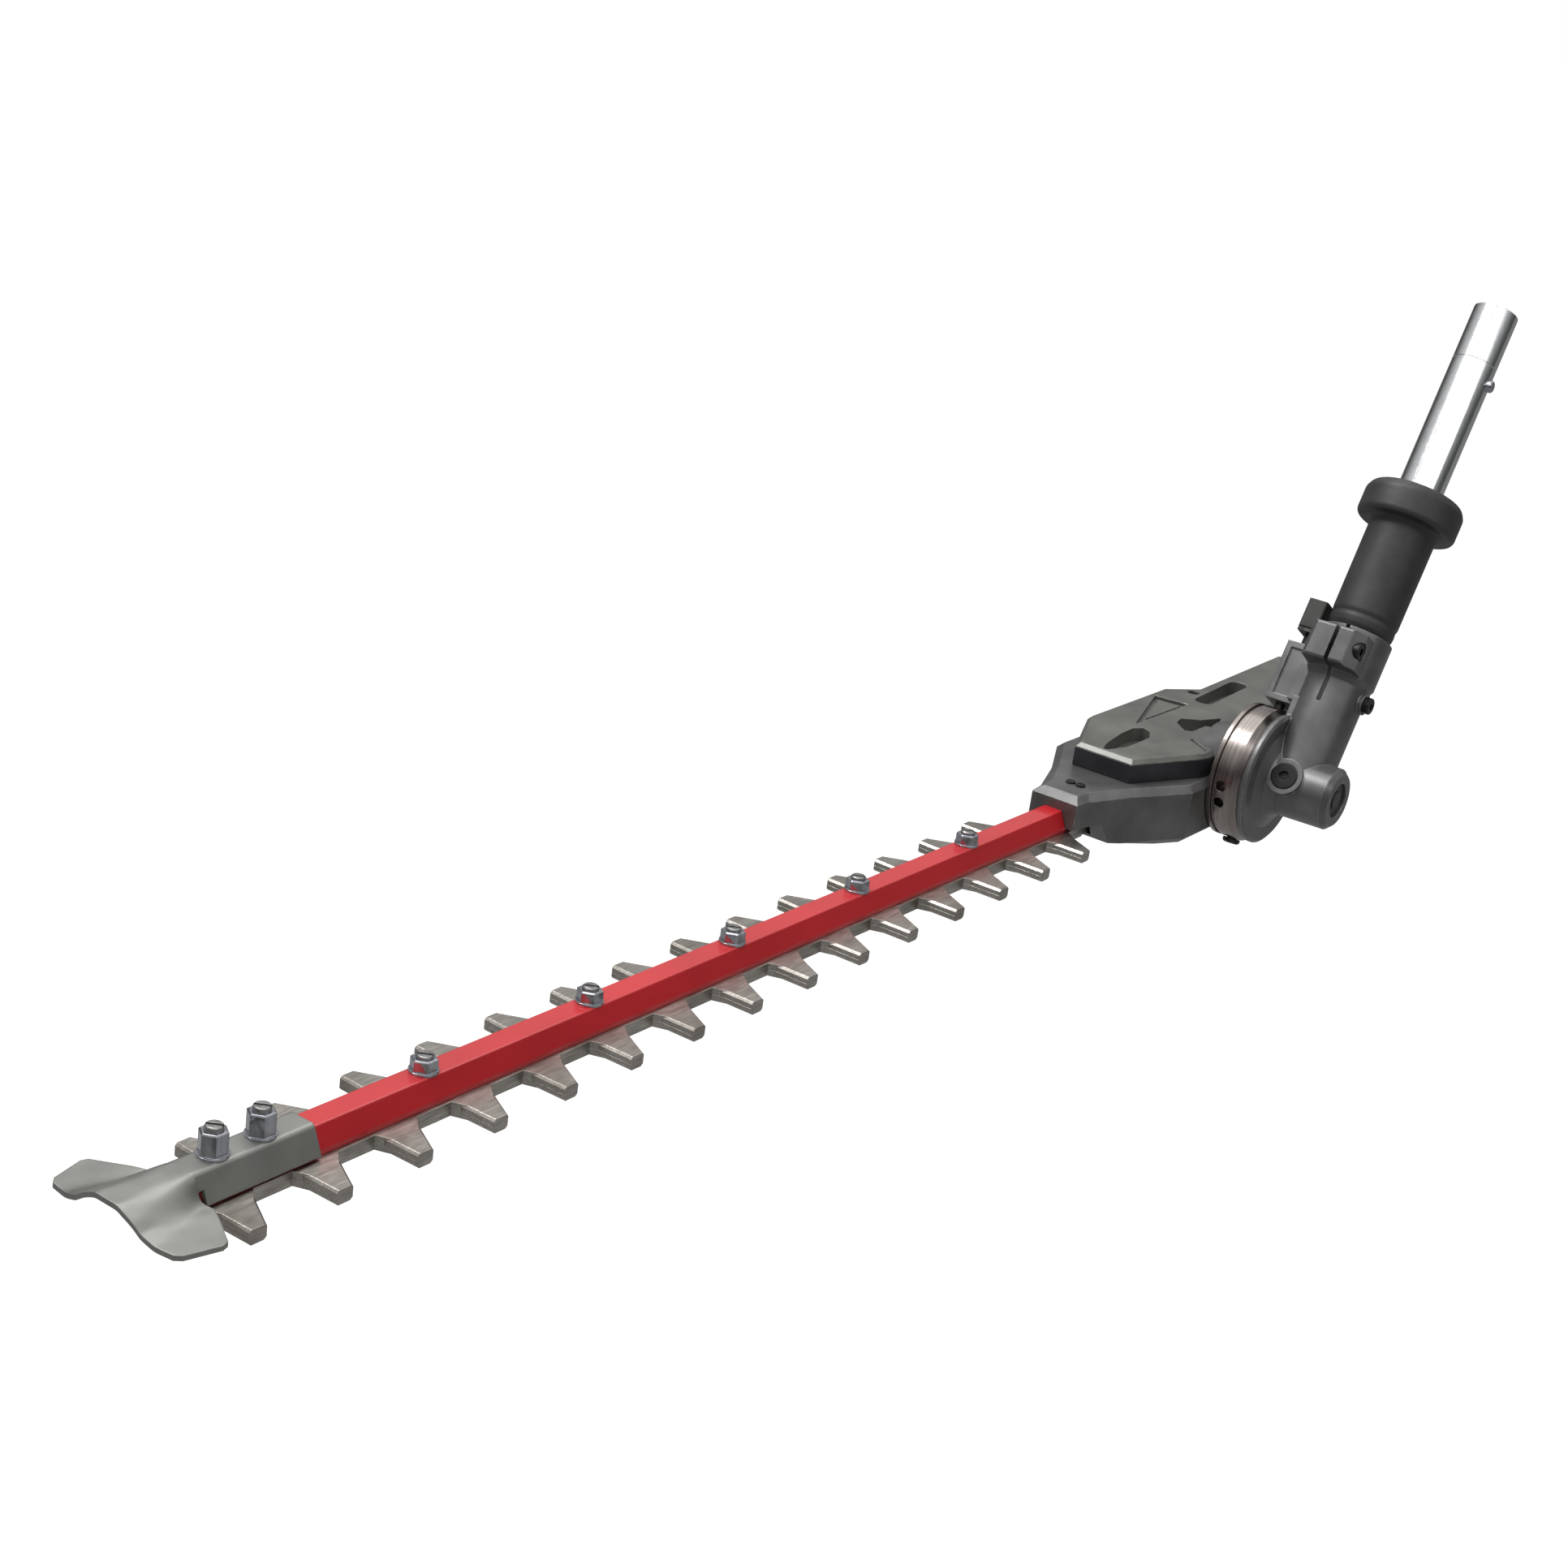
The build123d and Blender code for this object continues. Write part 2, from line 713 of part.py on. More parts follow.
with BuildPart() as cover_band:
    with BuildSketch(level(cover_floor_z + 0.1)):
        with BuildLine():
            Polyline(*cover_outline, close=True)
        make_face()
        offset(amount=-1.2, mode=Mode.SUBTRACT)
    extrude(amount=band_top_z - cover_floor_z - 0.2)
    with BuildSketch(Plane.YZ):
        with BuildLine():
            Polyline(*boss_room, close=True)
        make_face()
    revolve(axis=Axis.Y, mode=Mode.SUBTRACT)
save(cover_band, "cover_band")

with BuildPart() as cover_screws:
    for x, y in housing_screws:
        seat = Plane(origin=(x, y, cover_top_z - screw_sink))
        add(socket_screw(seat, 1.6, 14.0, 2.9, 2.4, 1.3))
save(cover_screws, "cover_screws")

with BuildPart() as nose_screws:
    for x, y in nose_screw_places:
        add(socket_screw(Plane(origin=(x, y, deck_z)), nose_screw_r, deck_z - bar_top_z + 4.0, 2.3, 0.9, 1.1))
save(nose_screws, "nose_screws")

# ---- index ring, bolted to the gearbox -------------------------------------------------------------
ring_bore_r = trunnion_r + fit_gap
working_stops = [pole_angle + index_step * n for n in range(10)]
storage_stops = [0.0, -index_step]

foot_angle = radians(-73)
foot_out = (cos(foot_angle), 0, sin(foot_angle))
foot_depth = ring_r - 3
foot_seat = Plane(origin=(foot_out[0] * foot_depth, index_y + 1, foot_out[2] * foot_depth), z_dir=foot_out)
with BuildPart() as index_ring:
    with BuildSketch(Plane.YZ):
        with BuildLine():
            Polyline(
                (seat_y, ring_bore_r),
                (seat_y, ring_r),
                (seat_y + 2.0, ring_r),
                (seat_y + 2.4, ring_r - 1.2),
                (seat_y + 3.6, ring_r - 1.2),
                (seat_y + 4.0, ring_r),
                (ring_front_y - 3.0, ring_r),
                (ring_front_y, ring_r - 2.2),
                (ring_front_y, ring_bore_r),
                close=True,
            )
        make_face()
    revolve(axis=Axis.Y)
    for angle in working_stops + storage_stops:
        outward = (cos(radians(angle)), 0, sin(radians(angle)))
        rim = Plane(origin=(outward[0] * (ring_r - 7.0), index_y, outward[2] * (ring_r - 7.0)), z_dir=outward)
        with BuildSketch(rim):
            Circle(index_pin_r + fit_gap)
        extrude(amount=10.0, mode=Mode.SUBTRACT)
    # seats for the screws that hold the ring to the boss
    with BuildSketch(across_pivot(seat_y)):
        with PolarLocations(19.0, 4, start_angle=45):
            Circle(2.1)
    extrude(amount=20.0, mode=Mode.SUBTRACT)
    with BuildSketch(across_pivot(ring_front_y)):
        with PolarLocations(19.0, 4, start_angle=45):
            Circle(3.8)
    extrude(amount=-5.0, mode=Mode.SUBTRACT)
    with BuildSketch(foot_seat):
        Circle(2.4)
    extrude(amount=5.0, mode=Mode.SUBTRACT)
save(index_ring, "index_ring")

with BuildPart() as ring_screws:
    for number in range(4):
        angle = radians(45 + 90 * number)
        seat = Plane(
            origin=(19.0 * cos(angle), ring_front_y - 5.0, 19.0 * sin(angle)), x_dir=(1, 0, 0), z_dir=(0, 1, 0)
        )
        add(socket_screw(seat, 2.1, 15.4, 3.6, 4.0, 1.7))
save(ring_screws, "ring_screws")

with BuildPart() as stop_button:
    with BuildSketch(foot_seat):
        Circle(2.4)
    extrude(amount=3.4)
    with BuildSketch(foot_seat.offset(3.4)):
        Circle(4.2)
    extrude(amount=2.2)
    chamfer(stop_button.faces().sort_by(Axis(foot_seat.origin, foot_seat.z_dir))[-1].edges(), 0.8)
save(stop_button, "stop_button")

# ---- arm casting, pole and sleeve --------------------------------------------------------------------
flange_back_y = ring_front_y + 0.3
pin_x = index_y - pole_y
guide_from = 36.0
guide_to = 66.0
pocket_from = 42.0
pocket_r = 4.4
lug_from = 57.0
lug_to = 75.0
lug_reach = 28.0
lug_half = 13.5
slot_w = 2.2
screw_along = 66.5
screw_reach = 21.5
gear_room_r = 12.3
side_screw_along = 48.0

cutter_side = (sin(radians(pole_angle)), 0, -cos(radians(pole_angle)))
toward_cutter = Plane(origin=(0, pole_y, 0), x_dir=(0, 1, 0), z_dir=cutter_side)
clamp_axis_point = along_pole(screw_along).from_local_coords((0, -screw_reach, 0))
clamp_screw_plane = Plane(origin=clamp_axis_point, x_dir=pole_base.z_dir, z_dir=(0, 1, 0))
side_screw_plane = Plane(origin=along_pole(side_screw_along).origin, x_dir=pole_base.z_dir, z_dir=(0, 1, 0))

with BuildPart() as arm_casting:
    with BuildSketch(Plane.YZ):
        with BuildLine():
            Polyline(
                (flange_back_y, 0),
                (flange_back_y, ring_r - 1.6),
                (flange_back_y + 1.2, ring_r - 1.0),
                (flange_front_y - 1.0, ring_r - 1.0),
                (flange_front_y, ring_r - 2.4),
                (flange_front_y, 24.0),
                (flange_front_y + 3.0, 18.0),
                (pole_y - 3.0, elbow_r + 0.4),
                (elbow_end_y - 2.6, elbow_r),
                (elbow_end_y, elbow_r - 2.4),
                (elbow_end_y, 0),
                close=True,
            )
        make_face()
    revolve(axis=Axis.Y)
    with BuildSketch(pole_base):
        Circle(arm_r)
    extrude(amount=clamp_from)
    with BuildSketch(along_pole(clamp_from - 2.0)):
        Circle(arm_r)
    with BuildSketch(along_pole(clamp_from + 1.5)):
        Circle(clamp_r)
    loft()
    with BuildSketch(along_pole(clamp_from + 1.5)):
        Circle(clamp_r)
    extrude(amount=clamp_to - clamp_from - 1.5)
    # web that ties the arm to the flange
    with BuildSketch(along_pole(18.0)):
        with Locations((-7.0, 0)):
            Rectangle(13.2, 22.0)
    extrude(amount=22.0)
    # running gap in front of the index ring
    with BuildSketch(across_pivot(flange_back_y - 6.0)):
        Circle(ring_r + 0.6)
    extrude(amount=6.0, mode=Mode.SUBTRACT)
    # clamp ears on the cutter side
    with BuildSketch(along_pole(lug_from)):
        with BuildLine():
            Polyline(
                (-lug_half, -12.0),
                (-lug_half + 1.0, -lug_reach + 1.5),
                (-lug_half + 3.0, -lug_reach),
                (lug_half - 5.5, -lug_reach),
                (lug_half, -lug_reach + 6.0),
                (lug_half, -12.0),
                close=True,
            )
        make_face()
    extrude(amount=lug_to - lug_from)
    ear_edges = arm_casting.edges().filter_by(
        lambda e: abs(pole_base.to_local_coords(e.center()).Y + lug_reach) < 0.4
        and abs(pole_base.to_local_coords(e.center()).X) < 9.0
    )
    fillet(ear_edges, 1.4)
    # guide for the index pin
    with BuildSketch(along_pole(guide_from)):
        with Locations((pin_x + 0.9, 0)):
            Rectangle(14.2, 15.6)
    extrude(amount=guide_to - guide_from)
    with BuildSketch(along_pole(guide_from + 2.0)):
        with Locations((-14.2, 0)):
            Rectangle(6.0, 19.0)
    extrude(amount=clamp_from - guide_from)
    for side in (1, -1):
        with BuildSketch(toward_cutter.offset(side * 7.9)):
            with Locations((pin_x + 0.9, (guide_from + guide_to) / 2)):
                Rectangle(8.6, guide_to - guide_from - 6.0)
        extrude(amount=-side * 1.2, mode=Mode.SUBTRACT)
    # boss for the grease plug and flat boss for the side screw
    with BuildSketch(toward_cutter):
        Circle(8.8)
    extrude(amount=arm_r + 1.2)
    with BuildSketch(side_screw_plane):
        Circle(5.2)
    extrude(amount=arm_r + 1.3)
    # bore for the tube, seats for the bearings, room for the gears
    with BuildSketch(along_pole(tube_start)):
        Circle(tube_r)
    extrude(amount=clamp_to, mode=Mode.SUBTRACT)
    with BuildSketch(along_pole(20.0)):
        Circle(bearing_r)
    extrude(amount=11.0, mode=Mode.SUBTRACT)
    with BuildSketch(pole_base):
        Circle(bearing_r - 1.5)
    extrude(amount=21.0, mode=Mode.SUBTRACT)
    with BuildSketch(pole_base):
        Circle(gear_room_r)
    extrude(amount=17.0, mode=Mode.SUBTRACT)
    with BuildSketch(across_pivot(56.5)):
        Circle(gear_room_r)
    extrude(amount=24.0, mode=Mode.SUBTRACT)
    with BuildSketch(across_pivot(80.0)):
        Circle(bearing_r)
    extrude(amount=10.5, mode=Mode.SUBTRACT)
    with BuildSketch(across_pivot(elbow_end_y)):
        Circle(bearing_r + 0.5)
    extrude(amount=-2.8, mode=Mode.SUBTRACT)
    # trunnion through the ring into the gearbox
    with BuildSketch(across_pivot(trunnion_end_y)):
        Circle(trunnion_r)
        Circle(bearing_r, mode=Mode.SUBTRACT)
    extrude(amount=flange_back_y - trunnion_end_y)
    with BuildSketch(across_pivot(flange_back_y - 1)):
        Circle(bearing_r - 1.5)
    extrude(amount=5.0, mode=Mode.SUBTRACT)
    with BuildSketch(across_pivot(28.4)):
        Circle(trunnion_r + 1)
        Circle(trunnion_r - 1.1, mode=Mode.SUBTRACT)
    extrude(amount=1.4, mode=Mode.SUBTRACT)
    # clamp slot with its tail, clamp screw hole, index pin bore and spring pocket
    with BuildSketch(along_pole(40.0)):
        with Locations((0, -20.0)):
            Rectangle(slot_w, 19.0)
    extrude(amount=clamp_to, mode=Mode.SUBTRACT)
    with BuildSketch(clamp_screw_plane):
        Circle(2.5)
    extrude(amount=lug_half + 2, both=True, mode=Mode.SUBTRACT)
    with BuildSketch(clamp_screw_plane.offset(lug_half - 5.2)):
        Circle(4.4)
    extrude(amount=8.0, mode=Mode.SUBTRACT)
    with BuildSketch(along_pole(guide_from - 2)):
        with Locations((pin_x, 0)):
            Circle(index_pin_r + fit_gap)
    extrude(amount=guide_to - guide_from + 4, mode=Mode.SUBTRACT)
    with BuildSketch(along_pole(pocket_from)):
        with Locations((pin_x, 0)):
            Circle(pocket_r)
    extrude(amount=guide_to - pocket_from + 1, mode=Mode.SUBTRACT)
    with BuildSketch(toward_cutter.offset(gear_room_r - 1)):
        Circle(6.4)
    extrude(amount=8.0, mode=Mode.SUBTRACT)
    with BuildSketch(side_screw_plane.offset(tube_r - 1)):
        Circle(2.0)
    extrude(amount=12.0, mode=Mode.SUBTRACT)
save(arm_casting, "arm_casting")

with BuildPart() as clamp_screw:
    add(socket_screw(clamp_screw_plane.offset(lug_half - 5.2), 2.5, 2 * lug_half - 7.0, 4.2, 4.8, 2.3))
save(clamp_screw, "clamp_screw")

with BuildPart() as side_screw:
    add(socket_screw(side_screw_plane.offset(arm_r + 1.3), 2.0, 5.2, 4.0, 3.2, 1.8))
save(side_screw, "side_screw")

with BuildPart() as grease_plug:
    add(socket_screw(toward_cutter.offset(arm_r - 0.8), 6.4, 3.2, 6.4, 2.6, 2.6))
save(grease_plug, "grease_plug")

with BuildPart() as elbow_cap:
    with BuildSketch(across_pivot(elbow_end_y - 2.8)):
        Circle(bearing_r + 0.5)
    extrude(amount=1.6)
    with BuildSketch(across_pivot(elbow_end_y - 1.2)):
        Circle(4.4)
    extrude(amount=0.6)
save(elbow_cap, "elbow_cap")

with BuildPart() as cross_bearings:
    add(bearing(across_pivot(30.2), bearing_r, shaft_r + 0.02, bearing_w))
    add(bearing(across_pivot(46.5), bearing_r, shaft_r + 0.02, bearing_w))
    add(bearing(across_pivot(81.5), bearing_r, shaft_r + 0.02, bearing_w))
save(cross_bearings, "cross_bearings")

with BuildPart() as drive_bearing:
    add(bearing(along_pole(20.0), bearing_r, shaft_r + 0.02, bearing_w))
save(drive_bearing, "drive_bearing")

with BuildPart() as pivot_clip:
    with BuildSketch(across_pivot(28.5)):
        Circle(clip_room_r - 0.5)
        Circle(trunnion_r - 1.05, mode=Mode.SUBTRACT)
        with Locations((0, clip_room_r)):
            Rectangle(7.0, 10.0, mode=Mode.SUBTRACT)
    extrude(amount=1.2)
save(pivot_clip, "pivot_clip")

with BuildPart() as pole_tube:
    with BuildSketch(along_pole(tube_start)):
        Circle(tube_r)
        Circle(tube_r - tube_wall, mode=Mode.SUBTRACT)
    extrude(amount=tube_end - tube_start)
    # witness groove that marks the length gripped by the next pole
    with BuildSketch(along_pole(tube_end - land_length - 0.8)):
        Circle(tube_r + 1)
        Circle(tube_r - 0.3, mode=Mode.SUBTRACT)
    extrude(amount=0.8, mode=Mode.SUBTRACT)
    with BuildSketch(Plane(origin=along_pole(button_along).origin, x_dir=pole_base.z_dir, z_dir=(0, 1, 0))):
        Circle(button_r + fit_gap)
    extrude(amount=tube_r + 2, mode=Mode.SUBTRACT)
save(pole_tube, "pole_tube")

with BuildPart() as grip_sleeve:
    with BuildSketch(Plane(origin=(0, pole_y, 0), x_dir=(0, 1, 0), z_dir=toward_cutter.z_dir)):
        with BuildLine():
            Polyline(
                (tube_r, sleeve_from),
                (sleeve_r - 1.6, sleeve_from),
                (sleeve_r, sleeve_from + 3.6),
                (sleeve_r, sleeve_flange_from - 1.0),
                (sleeve_r + 2.0, sleeve_flange_from),
                (sleeve_flange_r - 1.0, sleeve_flange_from),
                (sleeve_flange_r, sleeve_flange_from + 1.4),
                (sleeve_flange_r, sleeve_flange_to - 6.0),
                (sleeve_flange_r - 2.2, sleeve_flange_to - 1.6),
                (sleeve_flange_r - 5.5, sleeve_flange_to),
                (tube_r, sleeve_flange_to),
                close=True,
            )
        make_face()
    revolve(axis=Axis((0, pole_y, 0), pole_base.z_dir))
save(grip_sleeve, "grip_sleeve")

with BuildPart() as end_bush:
    with BuildSketch(along_pole(bush_along)):
        Circle(tube_r - tube_wall)
        Circle(shaft_r + fit_gap, mode=Mode.SUBTRACT)
    extrude(amount=8.0)
save(end_bush, "end_bush")

# ---- locating button at the coupling end -------------------------------------------------------------
button_plane = Plane(origin=along_pole(button_along).origin, x_dir=pole_base.z_dir, z_dir=(0, 1, 0))
with BuildPart() as locating_button:
    with BuildSketch(button_plane.offset(7.4)):
        Circle(button_r)
    extrude(amount=tube_r + 2.4 - 7.4)
    fillet(locating_button.faces().sort_by(Axis.Y)[-1].edges(), 1.2)
save(locating_button, "locating_button")

with BuildPart() as button_leaf:
    with BuildSketch(button_plane.offset(6.9)):
        with Locations((-8.0, 0)):
            Rectangle(26.0, 6.0)
    extrude(amount=0.5)
save(button_leaf, "button_leaf")

# ---- index lock ----------------------------------------------------------------------------------
pin_tip = ring_r + 0.2
collar_from = 50.0
spring_to = 60.0
pad_from = 72.4
pad_to = 89.0

with BuildPart() as index_pin:
    with BuildSketch(along_pole(pin_tip)):
        with Locations((pin_x, 0)):
            Circle(index_pin_r)
    extrude(amount=pad_from + 3.6 - pin_tip)
    with BuildSketch(along_pole(collar_from)):
        with Locations((pin_x, 0)):
            Circle(pocket_r - 0.2)
    extrude(amount=2.0)
save(index_pin, "index_pin")

with BuildPart() as lock_spring:
    start = along_pole(collar_from + 2.6).from_local_coords((pin_x, 0, 0))
    with BuildLine() as coil:
        Helix(pitch=1.35, height=6.7, radius=3.5, center=start, direction=pole_base.z_dir)
    with BuildSketch(Plane(origin=coil.line @ 0, z_dir=coil.line % 0)):
        Circle(0.45)
    sweep(is_frenet=True)
save(lock_spring, "lock_spring")

with BuildPart() as guide_cap:
    with BuildSketch(along_pole(spring_to)):
        with Locations((pin_x, 0)):
            Circle(pocket_r)
            Circle(index_pin_r + fit_gap, mode=Mode.SUBTRACT)
    extrude(amount=guide_to - spring_to)
save(guide_cap, "guide_cap")

with BuildPart() as lock_slide:
    with BuildSketch(along_pole(pad_from)):
        with Locations((pin_x, 0)):
            Rectangle(9.4, 14.0)
            Circle(index_pin_r, mode=Mode.SUBTRACT)
    extrude(amount=2.2)
save(lock_slide, "lock_slide")

with BuildPart() as thumb_pad:
    with BuildSketch(along_pole(pad_from + 2.2)):
        with Locations((pin_x, 0)):
            Rectangle(9.8, 15.4)
    extrude(amount=pad_to - pad_from - 2.2)
    with BuildSketch(along_pole(pad_from + 2.2)):
        with Locations((pin_x, 0)):
            Circle(index_pin_r)
    extrude(amount=1.4, mode=Mode.SUBTRACT)
    long_edges = thumb_pad.edges().filter_by(Axis((0, 0, 0), pole_base.z_dir)).sort_by_distance(
        along_pole(80).from_local_coords((pin_x, 0, 0))
    )[-4:]
    fillet(long_edges, 1.2)
save(thumb_pad, "thumb_pad")

# ---- drive line ------------------------------------------------------------------------------------
coupler_from = 236.0
coupler_to = 249.0

with BuildPart() as drive_shaft:
    with BuildSketch(along_pole(7.2)):
        Circle(shaft_r)
    extrude(amount=coupler_from + 5.0 - 7.2)
save(drive_shaft, "drive_shaft")

with BuildPart() as drive_coupler:
    with BuildSketch(along_pole(coupler_from)):
        Circle(7.0)
        Circle(shaft_r, mode=Mode.SUBTRACT)
    extrude(amount=5.0)
    with BuildSketch(along_pole(coupler_from + 5.0)):
        Circle(7.0)
        Rectangle(6.4, 6.4, mode=Mode.SUBTRACT)
    extrude(amount=coupler_to - coupler_from - 5.0)
save(drive_coupler, "drive_coupler")

miter = bevel_gear(miter_r, radians(45), 5.2, miter_teeth, shaft_r, 3.0)
with BuildPart() as drive_pinion:
    add(miter.moved(pole_base.location))
save(drive_pinion, "drive_pinion")

half_tooth = radians(180 / miter_teeth)
meshed_x = tuple(
    a * cos(half_tooth) + b * sin(half_tooth) for a, b in zip(pole_direction, cutter_side)
)
with BuildPart() as cross_gear:
    add(miter.moved(Plane(origin=(0, pole_y, 0), x_dir=meshed_x, z_dir=(0, 1, 0)).location))
save(cross_gear, "cross_gear")

pinion_cone = atan2(pinion_teeth, crown_teeth)
pinion_r = crown_r * pinion_teeth / crown_teeth
with BuildPart() as cross_shaft:
    with BuildSketch(across_pivot(16.6)):
        Circle(shaft_r)
    extrude(amount=elbow_end_y - 3.2 - 16.6)
save(cross_shaft, "cross_shaft")

with BuildPart() as cross_pinion:
    pinion = bevel_gear(pinion_r, pinion_cone, 5.5, pinion_teeth, shaft_r, 2.4)
    add(pinion.moved(across_pivot(0).location))
save(cross_pinion, "cross_pinion")

crown_plane = Plane(origin=(0, 0, -crown_drop), x_dir=(1, 0, 0), z_dir=(0, 0, -1))
with BuildPart() as crown_gear:
    crown = bevel_gear(crown_r, pi / 2 - pinion_cone, 5.5, crown_teeth, shaft_r, 1.6)
    add(crown.moved(crown_plane.location))
save(crown_gear, "crown_gear")

eccentric_t = 2.6
lift = 0.3
with BuildPart() as crank_shaft:
    with BuildSketch(level(floor_z + 0.9)):
        Circle(shaft_r)
    extrude(amount=crank_bearing_z + crank_bearing_w - floor_z - 0.9)
    with BuildSketch(level(blade_top + lift)):
        with Locations((0, stroke)):
            Circle(eccentric_r)
    extrude(amount=eccentric_t)
    with BuildSketch(level(blade_bottom - lift)):
        with Locations((0, -stroke)):
            Circle(eccentric_r)
    extrude(amount=-eccentric_t)
save(crank_shaft, "crank_shaft")

with BuildPart() as crank_bearings:
    add(bearing(level(floor_z + 0.8), bearing_r, shaft_r + 0.02, 2.3))
    add(bearing(level(crank_bearing_z), bearing_r, shaft_r + 0.02, crank_bearing_w))
save(crank_bearings, "crank_bearings")
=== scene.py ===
"""Looks for the pole hedge trimmer head: materials, the rubber sleeve, studio and camera."""

import json
import math

import bmesh
import bpy
from mathutils import Matrix, Vector


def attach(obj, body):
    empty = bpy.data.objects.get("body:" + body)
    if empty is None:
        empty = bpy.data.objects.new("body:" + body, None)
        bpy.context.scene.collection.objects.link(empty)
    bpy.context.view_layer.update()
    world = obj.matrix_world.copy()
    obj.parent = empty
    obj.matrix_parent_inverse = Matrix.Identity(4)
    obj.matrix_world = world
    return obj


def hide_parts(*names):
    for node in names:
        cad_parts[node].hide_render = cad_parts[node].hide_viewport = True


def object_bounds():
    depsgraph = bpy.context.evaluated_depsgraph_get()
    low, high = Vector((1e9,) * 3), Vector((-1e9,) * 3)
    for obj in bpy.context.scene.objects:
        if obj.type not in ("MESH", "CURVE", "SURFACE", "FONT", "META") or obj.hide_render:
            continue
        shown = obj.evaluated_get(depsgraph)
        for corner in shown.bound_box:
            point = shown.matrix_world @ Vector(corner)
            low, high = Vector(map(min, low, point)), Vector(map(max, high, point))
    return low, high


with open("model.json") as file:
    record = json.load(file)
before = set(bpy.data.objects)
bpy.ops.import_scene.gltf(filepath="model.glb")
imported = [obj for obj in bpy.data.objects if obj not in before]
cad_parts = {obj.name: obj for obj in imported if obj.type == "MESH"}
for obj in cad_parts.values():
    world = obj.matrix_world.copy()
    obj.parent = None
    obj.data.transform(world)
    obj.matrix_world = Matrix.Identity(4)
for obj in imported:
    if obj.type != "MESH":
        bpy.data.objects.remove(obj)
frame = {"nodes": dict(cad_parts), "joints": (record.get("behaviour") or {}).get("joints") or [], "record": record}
cad_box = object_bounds()
nodes = frame["nodes"]
joints = {joint["name"]: joint for joint in frame["joints"]}

# the head turns about the pivot; the pole's axis passes beside it, through the foot
PIVOT = Vector(joints["head_pivot"]["pos_m"])
POLE_FOOT = Vector(joints["drive_shaft_spin"]["pos_m"])
POLE = Vector(joints["drive_shaft_spin"]["axis"])


def along_pole(s):
    """Point on the pole's axis, s metres from its foot."""
    return POLE_FOOT + POLE * s


# ---- materials ----------------------------------------------------------------------------------
def new_material(name):
    """Empty material with its node tree and its shader."""
    material = bpy.data.materials.new(name)
    material.use_nodes = True
    tree = material.node_tree
    shader = tree.nodes["Principled BSDF"]
    return material, tree, shader


def add_node(tree, kind, **settings):
    """New node with its inputs and properties set by name."""
    made = tree.nodes.new(kind)
    for key, value in settings.items():
        if key in made.inputs:
            made.inputs[key].default_value = value
        else:
            setattr(made, key, value)
    return made


def ramp(tree, source, low, high, dark, light):
    """Colour ramp from dark to light between two levels of the source."""
    made = tree.nodes.new("ShaderNodeValToRGB")
    made.color_ramp.elements[0].position = low
    made.color_ramp.elements[1].position = high
    made.color_ramp.elements[0].color = (*dark, 1)
    made.color_ramp.elements[1].color = (*light, 1)
    tree.links.new(source, made.inputs["Fac"])
    return made.outputs["Color"]


def level_map(tree, source, low, high, start=0.0, end=1.0):
    """Source's span from start to end, stretched to run from low to high."""
    made = add_node(tree, "ShaderNodeMapRange")
    made.inputs["From Min"].default_value = start
    made.inputs["From Max"].default_value = end
    made.inputs["To Min"].default_value = low
    made.inputs["To Max"].default_value = high
    tree.links.new(source, made.inputs["Value"])
    return made.outputs["Result"]


def place(tree, scale=(1, 1, 1)):
    """Object coordinates in metres, stretched by scale."""
    coords = tree.nodes.new("ShaderNodeTexCoord")
    mapping = tree.nodes.new("ShaderNodeMapping")
    mapping.inputs["Scale"].default_value = scale
    tree.links.new(coords.outputs["Object"], mapping.inputs["Vector"])
    return mapping.outputs["Vector"]


def noise(tree, where, scale, detail=4.0, roughness=0.55):
    """Fractal noise, with scale in cells per metre."""
    made = add_node(tree, "ShaderNodeTexNoise", Scale=scale, Detail=detail, Roughness=roughness)
    tree.links.new(where, made.inputs["Vector"])
    return made.outputs["Fac"]


def soft_normal(tree, radius):
    """Surface normal with the edges rounded over a radius in metres."""
    made = add_node(tree, "ShaderNodeBevel", samples=4, Radius=radius)
    return made.outputs["Normal"]


def edge_mask(tree, rounded):
    """1 on sharp edges, 0 on flats: how far the rounded normal leans from the true one."""
    geometry = tree.nodes.new("ShaderNodeNewGeometry")
    dot = add_node(tree, "ShaderNodeVectorMath", operation="DOT_PRODUCT")
    tree.links.new(rounded, dot.inputs[0])
    tree.links.new(geometry.outputs["Normal"], dot.inputs[1])
    return level_map(tree, dot.outputs["Value"], 1.0, 0.0, start=0.82, end=0.985)


# sockets that the mix node uses for colours
MIX_FACTOR, MIX_FIRST, MIX_SECOND, MIX_RESULT = 0, 6, 7, 2


def mix_colour(tree, factor, first, second):
    """The first colour, a socket, where factor is 0, and the second, a value, where it is 1."""
    made = add_node(tree, "ShaderNodeMix", data_type="RGBA")
    tree.links.new(factor, made.inputs[MIX_FACTOR])
    tree.links.new(first, made.inputs[MIX_FIRST])
    made.inputs[MIX_SECOND].default_value = (*second, 1)
    return made.outputs[MIX_RESULT]


def multiply(tree, first, second):
    """Product of a socket with a second socket or a number."""
    made = add_node(tree, "ShaderNodeMath", operation="MULTIPLY")
    tree.links.new(first, made.inputs[0])
    if isinstance(second, float):
        made.inputs[1].default_value = second
    else:
        tree.links.new(second, made.inputs[1])
    return made.outputs[0]


def bump(tree, shader, height, strength, distance, base):
    """Relief that is distance metres deep, laid over the base normal."""
    made = add_node(tree, "ShaderNodeBump", Strength=strength, Distance=distance)
    tree.links.new(height, made.inputs["Height"])
    tree.links.new(base, made.inputs["Normal"])
    tree.links.new(made.outputs["Normal"], shader.inputs["Normal"])


